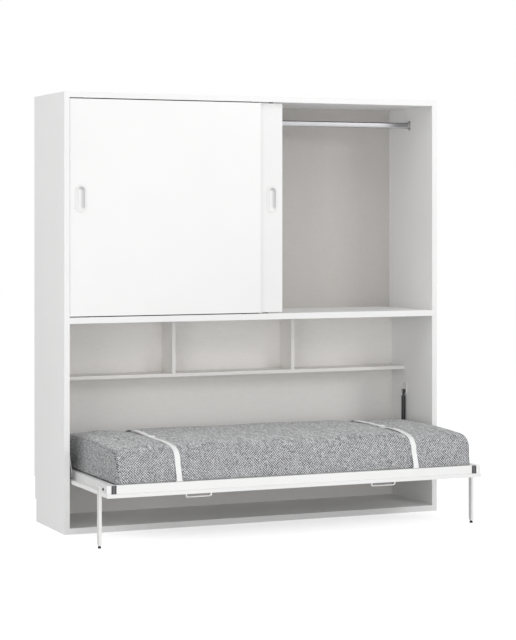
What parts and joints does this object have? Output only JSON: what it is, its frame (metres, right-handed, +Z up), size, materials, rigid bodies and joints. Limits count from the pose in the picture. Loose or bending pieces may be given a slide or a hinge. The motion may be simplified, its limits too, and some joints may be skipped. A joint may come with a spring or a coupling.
{
  "type": "wall bed",
  "caption": "White wall bed that folds down sideways from a cabinet, with a sliding-door wardrobe above, open niches behind, swinging legs and a strapped grey mattress.",
  "frame": {"origin": "centre of the cabinet's footprint on the floor", "axes": "+X to the right along the wall, +Y into the cabinet towards the wall, +Z up"},
  "size_m": [2.06, 1.047, 2.198],
  "materials": {
    "white_board": "satin white laminate",
    "back_board": "matt pale laminate with a linen grain",
    "beech": "clear lacquer",
    "white_steel": "satin powder coat",
    "black_steel": "satin paint",
    "zinc_steel": "zinc plated",
    "satin_steel": "satin brushed",
    "chrome": "polished",
    "white_plastic": "satin",
    "grey_plastic": "matt",
    "black_plastic": "matt",
    "grey_fabric": "woven melange cover",
    "strap_webbing": "woven webbing"
  },
  "bodies": {
    "cabinet": {"left_side_panel": "white_board", "right_side_panel": "white_board", "top_panel": "white_board", "middle_shelf": "white_board", "bottom_panel": "white_board", "upper_back_panel": "back_board", "lower_back_panel": "back_board", "niche_shelf": "back_board", "niche_dividers": "back_board", "wardrobe_divider": "white_board", "carcass_dowels": "beech", "hanging_rail": "chrome", "hanging_rail_supports": "chrome", "top_guide_track": "white_plastic", "bottom_guide_track": "white_plastic", "door_stops": "white_plastic", "wall_brackets": "zinc_steel", "pivot_plates": "white_steel", "pivot_pins": "zinc_steel", "cabinet_screws": "zinc_steel", "spring_top_brackets": "white_steel"},
    "front_door": {"front_door_board": "white_board", "front_door_pull": "white_plastic", "front_door_roller_housings": "black_plastic", "front_door_guides": "black_plastic"},
    "rear_door": {"rear_door_board": "white_board", "rear_door_pull": "white_plastic", "rear_door_roller_housings": "black_plastic", "rear_door_guides": "black_plastic"},
    "front_left_roller": {"front_door_left_roller": "black_plastic"},
    "front_right_roller": {"front_door_right_roller": "black_plastic"},
    "rear_left_roller": {"rear_door_left_roller": "black_plastic"},
    "rear_right_roller": {"rear_door_right_roller": "black_plastic"},
    "bed": {"bed_front_panel": "white_board", "bed_front_rail": "white_steel", "bed_rear_rail": "white_steel", "bed_side_rails": "white_steel", "rail_end_plugs": "grey_plastic", "cross_bars": "white_steel", "slats": "beech", "slat_holders": "black_plastic", "mattress": "grey_fabric", "straps": "strap_webbing", "strap_loops": "zinc_steel", "strap_buckles": "white_plastic", "handles": "satin_steel", "bed_screws": "zinc_steel", "pivot_arms": "white_steel", "spring_foot_brackets": "white_steel", "leg_brackets": "white_steel", "leg_bolts": "zinc_steel", "leg_spacers": "black_plastic"},
    "left_leg": {"leg_left": "white_steel", "leg_foot_left": "black_plastic"},
    "right_leg": {"leg_right": "white_steel", "leg_foot_right": "black_plastic"},
    "left_cylinder": {"gas_spring_cylinder_left": "black_steel"},
    "right_cylinder": {"gas_spring_cylinder_right": "black_steel"},
    "left_rod": {"gas_spring_rod_left": "chrome"},
    "right_rod": {"gas_spring_rod_right": "chrome"}
  },
  "joints": [
    {"name": "front_door_slide", "type": "slide", "parent": "cabinet", "child": "front_door", "axis": [1, 0, 0], "range_m": [0, 0.983]},
    {"name": "rear_door_slide", "type": "slide", "parent": "cabinet", "child": "rear_door", "axis": [1, 0, 0], "range_m": [0, 0.8534]},
    {"name": "bed_fold", "type": "hinge", "parent": "cabinet", "child": "bed", "pos_m": [0, -0.1325, 0.366], "axis": [-1, 0, 0], "range_deg": [0, 90]},
    {"name": "left_leg_fold", "type": "hinge", "parent": "bed", "child": "left_leg", "pos_m": [-0.9945, -0.6845, 0.278], "axis": [-1, 0, 0], "range_deg": [-90, 0]},
    {"name": "left_spring_swing", "type": "hinge", "parent": "cabinet", "child": "left_cylinder", "pos_m": [-0.99, 0.0555, 0.6116], "axis": [-1, 0, 0], "range_deg": [0, 32]},
    {"name": "left_spring_stroke", "type": "slide", "parent": "left_cylinder", "child": "left_rod", "axis": [0, 0, -1], "range_m": [0, 0.1832]},
    {"name": "right_leg_fold", "type": "hinge", "parent": "bed", "child": "right_leg", "pos_m": [0.9945, -0.6845, 0.278], "axis": [-1, 0, 0], "range_deg": [-90, 0]},
    {"name": "right_spring_swing", "type": "hinge", "parent": "cabinet", "child": "right_cylinder", "pos_m": [0.99, 0.0555, 0.6116], "axis": [-1, 0, 0], "range_deg": [0, 32]},
    {"name": "right_spring_stroke", "type": "slide", "parent": "right_cylinder", "child": "right_rod", "axis": [0, 0, -1], "range_m": [0, 0.1832]},
    {"name": "front_left_roller_spin", "type": "hinge", "parent": "front_door", "child": "front_left_roller", "pos_m": [-0.91, -0.2405, 1.0708], "axis": [0, 1, 0], "range_deg": [0, 3760]},
    {"name": "front_right_roller_spin", "type": "hinge", "parent": "front_door", "child": "front_right_roller", "pos_m": [-0.073, -0.2405, 1.0708], "axis": [0, 1, 0], "range_deg": [0, 3760]},
    {"name": "rear_left_roller_spin", "type": "hinge", "parent": "rear_door", "child": "rear_left_roller", "pos_m": [-0.7804, -0.2185, 1.0708], "axis": [0, 1, 0], "range_deg": [0, 3265]},
    {"name": "rear_right_roller_spin", "type": "hinge", "parent": "rear_door", "child": "rear_right_roller", "pos_m": [0.0566, -0.2185, 1.0708], "axis": [0, 1, 0], "range_deg": [0, 3265]}
  ],
  "couplings": [
    {"joint": "left_leg_fold", "follows": "bed_fold", "ratio": -1},
    {"joint": "left_spring_swing", "follows": "bed_fold", "ratio": 0.3547},
    {"joint": "left_spring_stroke", "follows": "bed_fold", "m_per_rad": 0.1165},
    {"joint": "right_leg_fold", "follows": "bed_fold", "ratio": -1},
    {"joint": "right_spring_swing", "follows": "bed_fold", "ratio": 0.3547},
    {"joint": "right_spring_stroke", "follows": "bed_fold", "m_per_rad": 0.1165},
    {"joint": "front_left_roller_spin", "follows": "front_door_slide", "rad_per_m": 66.667},
    {"joint": "front_right_roller_spin", "follows": "front_door_slide", "rad_per_m": 66.667},
    {"joint": "rear_left_roller_spin", "follows": "rear_door_slide", "rad_per_m": 66.667},
    {"joint": "rear_right_roller_spin", "follows": "rear_door_slide", "rad_per_m": 66.667}
  ]
}
